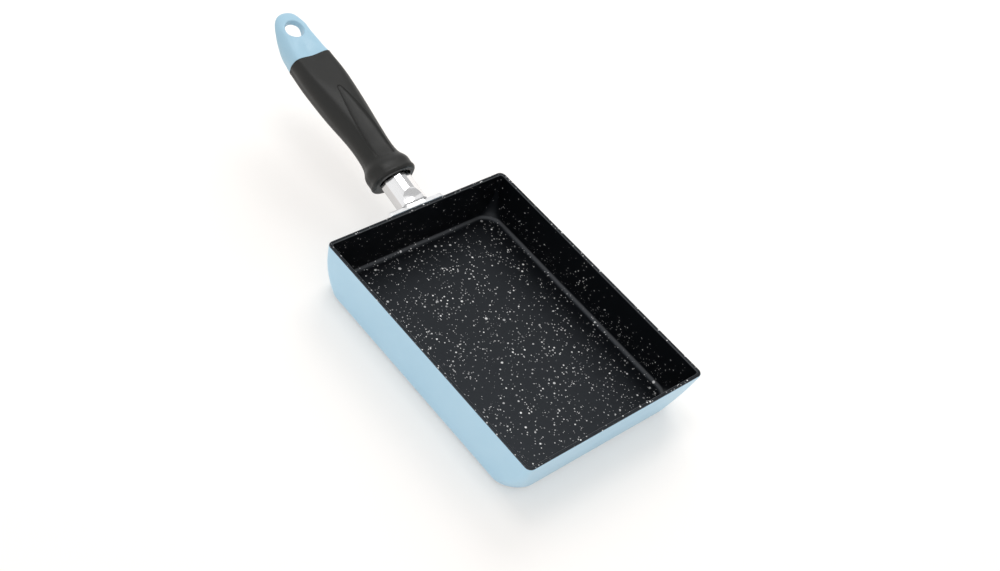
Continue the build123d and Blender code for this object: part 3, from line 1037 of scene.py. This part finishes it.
@dataclass
class TieScrew:
    """The long socket screw inside the grip, with its washers.

    Attributes:
        tip_place: How far along the handle the screw's tip lies.
        length: From the tip to the underside of the head.
        radius: Over the thread's crests.
        pitch: The thread's pitch.
        thread_length: How much of the shank is threaded.
        thread_depth: How far the thread's ridge stands out from the core, as a share of the pitch.
        point_depth: How much slimmer the tip's end is than the crests, in thread depths.
        shank_relief: How much slimmer the plain shank is than the crests, in thread depths.
        turn_steps: How many steps each turn of the thread has.
        ridge_profile: How many corners the thread's ridge has in section.
        head_radius: The head's radius over its ridges.
        head_height: The head's height.
        ridge_count: How many ridges the head has round it.
        ridge_height: How far they stand out.
        ridge_sides: How many sides each has.
        ridge_length: How long each is, as a share of the head's height.
        ridge_middle: How high its middle lies, as a share of the head's height.
        socket_width: The hexagonal socket, across its flats.
        socket_depth: How deep the socket is.
        sides: How many sides the round parts have.
        zinc: The finish of the screw and its washers.
    """

    tip_place: float = 27.05 * MM
    length: float = 60.0 * MM
    radius: float = 2.5 * MM
    pitch: float = 0.8 * MM
    thread_length: float = 22.0 * MM
    thread_depth: float = 0.5
    point_depth: float = 2
    shank_relief: float = 0.1
    turn_steps: int = 24
    ridge_profile: int = 4
    head_radius: float = 4.25 * MM
    head_height: float = 3.3 * MM
    ridge_count: int = 36
    ridge_height: float = 0.15 * MM
    ridge_sides: int = 8
    ridge_length: float = 0.86
    ridge_middle: float = 0.46
    socket_width: float = 4.0 * MM
    socket_depth: float = 2.0 * MM
    sides: int = 48
    zinc: TumbledMetal = TumbledMetal(
        "zinc_plate",
        colour=(0.62, 0.63, 0.65),
        shade=(0.52, 0.53, 0.56),
        pits=Lumps(0.5 * MM, 4.0, 0.6),
        pit_depth=3 * MICRON,
        sheen=0.26,
    )

    def build(self) -> None:
        """Dresses the washers, and makes the screw with a Geometry Nodes tree."""
        zinc = dress([Node.SPRING_WASHER, Node.FLAT_WASHER], self.zinc)
        graph = GeometryGraph("threaded_screw", self._inputs(zinc))
        self._fill(graph)
        mesh = graph.mesh("tie_screw_threaded")
        mesh.transform(HANDLE_AXIS.placed(self.tip_place))
        screw = bpy.data.objects.new("tie_screw_threaded", mesh)
        bpy.context.scene.collection.objects.link(screw)
        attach(screw, ROOT)
        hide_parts(Node.TIE_BOLT.value)
        LOG.info("%s: %s, %d faces", screw.name, self.zinc.name, len(mesh.polygons))

    def _inputs(self, zinc: bpy.types.Material) -> dict[str, TreeInput]:
        """Gives the inputs of the screw's tree.

        Args:
            zinc: The screw's material.

        Returns:
            The inputs by name.
        """
        lengths = {
            "Tip Length": self.pitch,
            "Thread Length": self.thread_length,
            "Radius": self.radius,
            "Pitch": self.pitch,
            "Length": self.length,
            "Head Radius": self.head_radius,
            "Head Height": self.head_height,
            "Ridge Height": self.ridge_height,
            "Socket Width": self.socket_width,
            "Socket Depth": self.socket_depth,
        }
        counts = {"Ridge Count": self.ridge_count, "Sides": self.sides}
        inputs = {label: TreeInput(SocketKind.FLOAT, value) for label, value in lengths.items()}
        inputs.update({label: TreeInput(SocketKind.INTEGER, value) for label, value in counts.items()})
        inputs["Material"] = TreeInput(SocketKind.MATERIAL, zinc)
        return inputs

    def _fill(self, graph: GeometryGraph) -> None:
        """Fills the screw's tree: shank, thread and head along Z from the tip.

        Args:
            graph: The empty tree.
        """
        length = graph.value("Length")
        radius = graph.value("Radius")
        depth = graph.value("Pitch") * self.thread_depth
        tip = graph.value("Tip Length")
        threaded = graph.value("Thread Length")
        core = self._rod(graph, tip, threaded + tip, radius - depth)
        point = self._cone(graph, 0.0, tip, radius - depth * self.point_depth, radius - depth)
        shank = self._rod(graph, threaded + tip, length, radius - depth * self.shank_relief)
        thread = self._thread(graph, radius - depth, depth)
        head = graph.lifted(self._head(graph), length)
        graph.finish(graph.joined(core, point, shank, thread, head), graph.value("Material"))

    def _thread(self, graph: GeometryGraph, radius: Link, depth: Link) -> Link:
        """Winds the thread's ridge round the core.

        Args:
            graph: The screw's tree.
            radius: The core's radius.
            depth: How far the ridge stands out from it.

        Returns:
            The ridge, half a pitch above the tip.
        """
        pitch = graph.value("Pitch")
        height = graph.value("Thread Length") - pitch
        helix = graph.node(
            "GeometryNodeCurveSpiral",
            None,
            {
                "Resolution": self.turn_steps,
                "Rotations": height / pitch,
                "Start Radius": radius,
                "End Radius": radius,
                "Height": height,
            },
        )
        upright = graph.node("GeometryNodeSetCurveNormal", {"mode": "Z_UP"}, {"Curve": helix})
        profile = graph.node(
            "GeometryNodeCurvePrimitiveCircle", None, {"Resolution": self.ridge_profile, "Radius": depth}
        )
        ridge = graph.node(
            "GeometryNodeCurveToMesh", None, {"Curve": upright, "Profile Curve": profile, "Fill Caps": True}
        )
        return graph.lifted(ridge, graph.value("Tip Length") + pitch * 0.5)

    def _head(self, graph: GeometryGraph) -> Link:
        """Makes the ridged head with its socket.

        Args:
            graph: The screw's tree.

        Returns:
            The head, from its underside up.
        """
        height = graph.value("Head Height")
        ridge = graph.value("Ridge Height")
        radius = graph.value("Head Radius") - ridge
        hexagon = graph.node(
            "GeometryNodeMeshCylinder",
            None,
            {
                "Vertices": HEXAGON,
                "Radius": graph.value("Socket Width") * (0.5 / math.cos(math.pi / HEXAGON)),
                "Depth": graph.value("Socket Depth") * 2,
            },
        )
        socketed = graph.node(
            "GeometryNodeMeshBoolean",
            {"operation": "DIFFERENCE"},
            {"Mesh 1": self._rod(graph, 0.0, height, radius), "Mesh 2": graph.lifted(hexagon, height)},
        )
        ring = graph.node(
            "GeometryNodeMeshCircle", None, {"Vertices": graph.value("Ridge Count"), "Radius": radius}
        )
        bar = graph.node(
            "GeometryNodeMeshCylinder",
            None,
            {"Vertices": self.ridge_sides, "Radius": ridge, "Depth": height * self.ridge_length},
        )
        bars = graph.node("GeometryNodeInstanceOnPoints", None, {"Points": ring, "Instance": bar})
        return graph.joined(socketed, graph.lifted(bars, height * self.ridge_middle))

    def _rod(self, graph: GeometryGraph, start: Operand, end: Operand, radius: Operand) -> Link:
        """A round bar along Z between two heights."""
        return self._cone(graph, start, end, radius, radius)

    def _cone(
        self, graph: GeometryGraph, start: Operand, end: Operand, first: Operand, last: Operand
    ) -> Link:
        """Makes a round bar along Z that changes from one radius to another.

        Args:
            graph: The screw's tree.
            start: Its lower height.
            end: Its upper height.
            first: Its radius below.
            last: Its radius above.

        Returns:
            The bar.
        """
        cone = graph.node(
            "GeometryNodeMeshCone",
            None,
            {
                "Vertices": graph.value("Sides"),
                "Radius Top": last,
                "Radius Bottom": first,
                "Depth": end - start,
            },
        )
        return graph.lifted(cone, start)


# Studio


PAN_MIDDLE: Triple = (0.0, 0.0, 0.02)
WHOLE_MIDDLE: Triple = (0.0, 0.10, 0.04)
NECK_MIDDLE: Triple = (0.0, 0.12, 0.04)
THUMB_HOLLOW: Triple = (0.0, 0.20, 0.06)


def facing(place: Triple, aim: Triple, front: str) -> Matrix:
    """Gives the matrix of a thing that hangs at one point and faces another.

    Args:
        place: Where it hangs.
        aim: The point that it faces.
        front: Its own axis that points there.

    Returns:
        The matrix.
    """
    way = Vector(aim) - Vector(place)
    return Matrix.Translation(place) @ way.to_track_quat(front, "Y").to_matrix().to_4x4()


def plate(
    name: str, width: float, height: float, place: Matrix, material: bpy.types.Material
) -> bpy.types.Object:
    """Makes a flat staged plate.

    Args:
        name: Its name.
        width: Its width.
        height: Its height.
        place: Where its middle lies and how it is turned.
        material: Its material.

    Returns:
        The plate.
    """
    x, y = width / 2, height / 2
    mesh = bpy.data.meshes.new(name)
    mesh.from_pydata([(-x, -y, 0), (x, -y, 0), (x, y, 0), (-x, y, 0)], [], [(0, 1, 2, 3)])
    mesh.materials.append(material)
    mesh.transform(place)
    made = bpy.data.objects.new(name, mesh)
    bpy.context.scene.collection.objects.link(made)
    return made


def plainly_seen(graph: NodeGraph) -> Link:
    """Tells rays that show a backdrop, straight or in metal or glass, from rays that light.

    Args:
        graph: The backdrop's tree.

    Returns:
        1 for a ray that shows it, else 0.
    """
    path = graph.node("ShaderNodeLightPath")
    seen = path.other("Is Camera Ray").at_least(path.other("Is Glossy Ray"))
    return seen.at_least(path.other("Is Transmission Ray"))


@dataclass(frozen=True)
class SoftLight:
    """A broad lamp.

    Attributes:
        name: Its name.
        place: Where it hangs.
        aim: The point that it faces.
        width: Its width.
        height: Its height.
        power: Its power, in watts.
        reflected: Whether shiny surfaces show it.
    """

    name: str
    place: Triple
    aim: Triple
    width: float
    height: float
    power: float
    reflected: bool = True

    def hang(self) -> None:
        """Adds the lamp to the scene."""
        lamp = bpy.data.lights.new(self.name, "AREA")
        lamp.shape = "RECTANGLE"
        lamp.size = self.width
        lamp.size_y = self.height
        lamp.energy = self.power
        holder = bpy.data.objects.new(self.name, lamp)
        holder.visible_glossy = self.reflected
        holder.matrix_world = facing(self.place, self.aim, "-Z")
        bpy.context.scene.collection.objects.link(holder)
        LOG.info("%s: %.1f W", self.name, self.power)


@dataclass(frozen=True)
class ReflectedCard:
    """A card seen in reflections alone: grey parts the metal's faces, bright lights a dark hollow.

    Attributes:
        name: Its name.
        place: Where it hangs.
        aim: The point that it faces.
        width: Its width.
        height: Its height.
        strength: How bright it is, where the white surround is 1.
    """

    name: str
    place: Triple
    aim: Triple
    width: float
    height: float
    strength: float

    def hang(self) -> None:
        """Adds the card to the scene."""
        graph = ShaderGraph(self.name)
        graph.end(graph.node("ShaderNodeEmission", None, {"Color": 3 * (self.strength,), "Strength": 1.0}))
        place = facing(self.place, self.aim, "Z")
        card = plate(self.name, self.width, self.height, place, graph.material)
        card.visible_camera = False
        card.visible_diffuse = False
        card.visible_shadow = False
        LOG.info("%s: %.2f", self.name, self.strength)


@dataclass
class Studio:
    """A pale floor, a white surround, soft lamps, cards and the camera.

    Attributes:
        floor_side: The floor's side.
        floor_drop: How far the floor lies under the pan's base.
        floor_colour: The floor's colour.
        floor_glow: How much of the floor the camera sees as plain white.
        surround: How strongly the white surround lights the pan.
        camera_place: Where the camera stands.
        heading: Which way it looks, in degrees from +Y towards +X.
        dip: How far it looks down, in degrees.
        roll: How far it is turned about its view, in degrees.
        focal_share: Its focal length as a share of the picture's width.
        nearest: The nearest thing that it sees.
        furthest: The furthest thing that it sees.
        lamps: The lamps.
        cards: The cards that shiny surfaces reflect.
    """

    floor_side: float = 8.0
    floor_drop: float = 0.3 * MM
    floor_colour: Colour = (0.98, 0.942, 0.905)
    floor_glow: float = 0.25
    surround: float = 0.80
    camera_place: Triple = (-0.48182, -0.35647, 0.66175)
    heading: float = 52.355
    dip: float = 45.605
    roll: float = 17.806
    focal_share: float = 1.50277
    nearest: float = 0.01
    furthest: float = 100.0
    lamps: list[SoftLight] = field(
        default_factory=lambda: [
            SoftLight("top_lamp", (0.04, 0.40, 1.45), WHOLE_MIDDLE, 0.5, 0.5, power=3.0),
            SoftLight("side_lamp", (-1.4, -0.5, 0.55), PAN_MIDDLE, 1.4, 0.9, power=2.2),
            SoftLight("back_lamp", (0.95, 0.75, 0.95), PAN_MIDDLE, 0.9, 0.9, power=8.5, reflected=False),
        ]
    )
    cards: list[ReflectedCard] = field(
        default_factory=lambda: [
            ReflectedCard("card_right", (1.15, 0.52, 0.55), NECK_MIDDLE, 1.0, 0.7, strength=0.62),
            ReflectedCard("card_high", (0.74, -0.42, 0.98), NECK_MIDDLE, 1.6, 0.9, strength=0.60),
            ReflectedCard("card_strip", (-0.466, 0.373, 1.26), NECK_MIDDLE, 0.9, 0.30, strength=0.45),
            ReflectedCard("card_gleam", (0.54, 0.33, 1.34), THUMB_HOLLOW, 0.34, 0.34, strength=7.0),
        ]
    )

    def set_up(self) -> None:
        """Builds the floor, surround, lamps, cards and camera."""
        self._lay_floor()
        self._light_surround()
        for thing in (*self.lamps, *self.cards):
            thing.hang()
        self._place_camera()
        bpy.context.scene.view_settings.view_transform = "Standard"

    def _lay_floor(self) -> None:
        """Makes the floor, which keeps the pan's shadow and is white beyond it."""
        graph = ShaderGraph("studio_floor")
        glow_share = plainly_seen(graph) * self.floor_glow
        diffuse = graph.node("ShaderNodeBsdfDiffuse", None, {"Color": self.floor_colour})
        glow = graph.node("ShaderNodeEmission", None, {"Color": WHITE, "Strength": 1.0})
        graph.end(graph.node("ShaderNodeMixShader", None, {0: glow_share, 1: diffuse, 2: glow}))
        drop = Matrix.Translation((0.0, 0.0, -self.floor_drop))
        plate("studio_floor", self.floor_side, self.floor_side, drop, graph.material)

    def _light_surround(self) -> None:
        """Makes the world: even light, and plain white where it is seen or reflected."""
        world = bpy.data.worlds.new("studio_surround")
        world.use_nodes = True
        world.node_tree.nodes.clear()
        graph = NodeGraph(world.node_tree)
        strength = self.surround + plainly_seen(graph) * (1 - self.surround)
        light = graph.node("ShaderNodeBackground", None, {"Color": WHITE, "Strength": strength})
        graph.node("ShaderNodeOutputWorld", None, {"Surface": light})
        bpy.context.scene.world = world

    def _place_camera(self) -> None:
        """Puts the camera where the photograph was taken from."""
        data = bpy.data.cameras.new("camera")
        data.lens = data.sensor_width * self.focal_share
        data.clip_start = self.nearest
        data.clip_end = self.furthest
        camera = bpy.data.objects.new("camera", data)
        turn = Matrix.Rotation(-math.radians(self.heading), 4, "Z")
        tilt = Matrix.Rotation(math.radians(90 - self.dip), 4, "X")
        roll = Matrix.Rotation(math.radians(self.roll), 4, "Z")
        camera.matrix_world = Matrix.Translation(self.camera_place) @ turn @ tilt @ roll
        bpy.context.scene.collection.objects.link(camera)
        bpy.context.scene.camera = camera


def main() -> None:
    """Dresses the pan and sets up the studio."""
    logging.basicConfig(level=logging.INFO, format="%(name)s %(message)s")
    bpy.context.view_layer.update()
    Studio().set_up()
    Tray().dress()
    Neck().dress()
    Handle().dress()
    TieScrew().build()


if __name__ == "__main__":
    main()
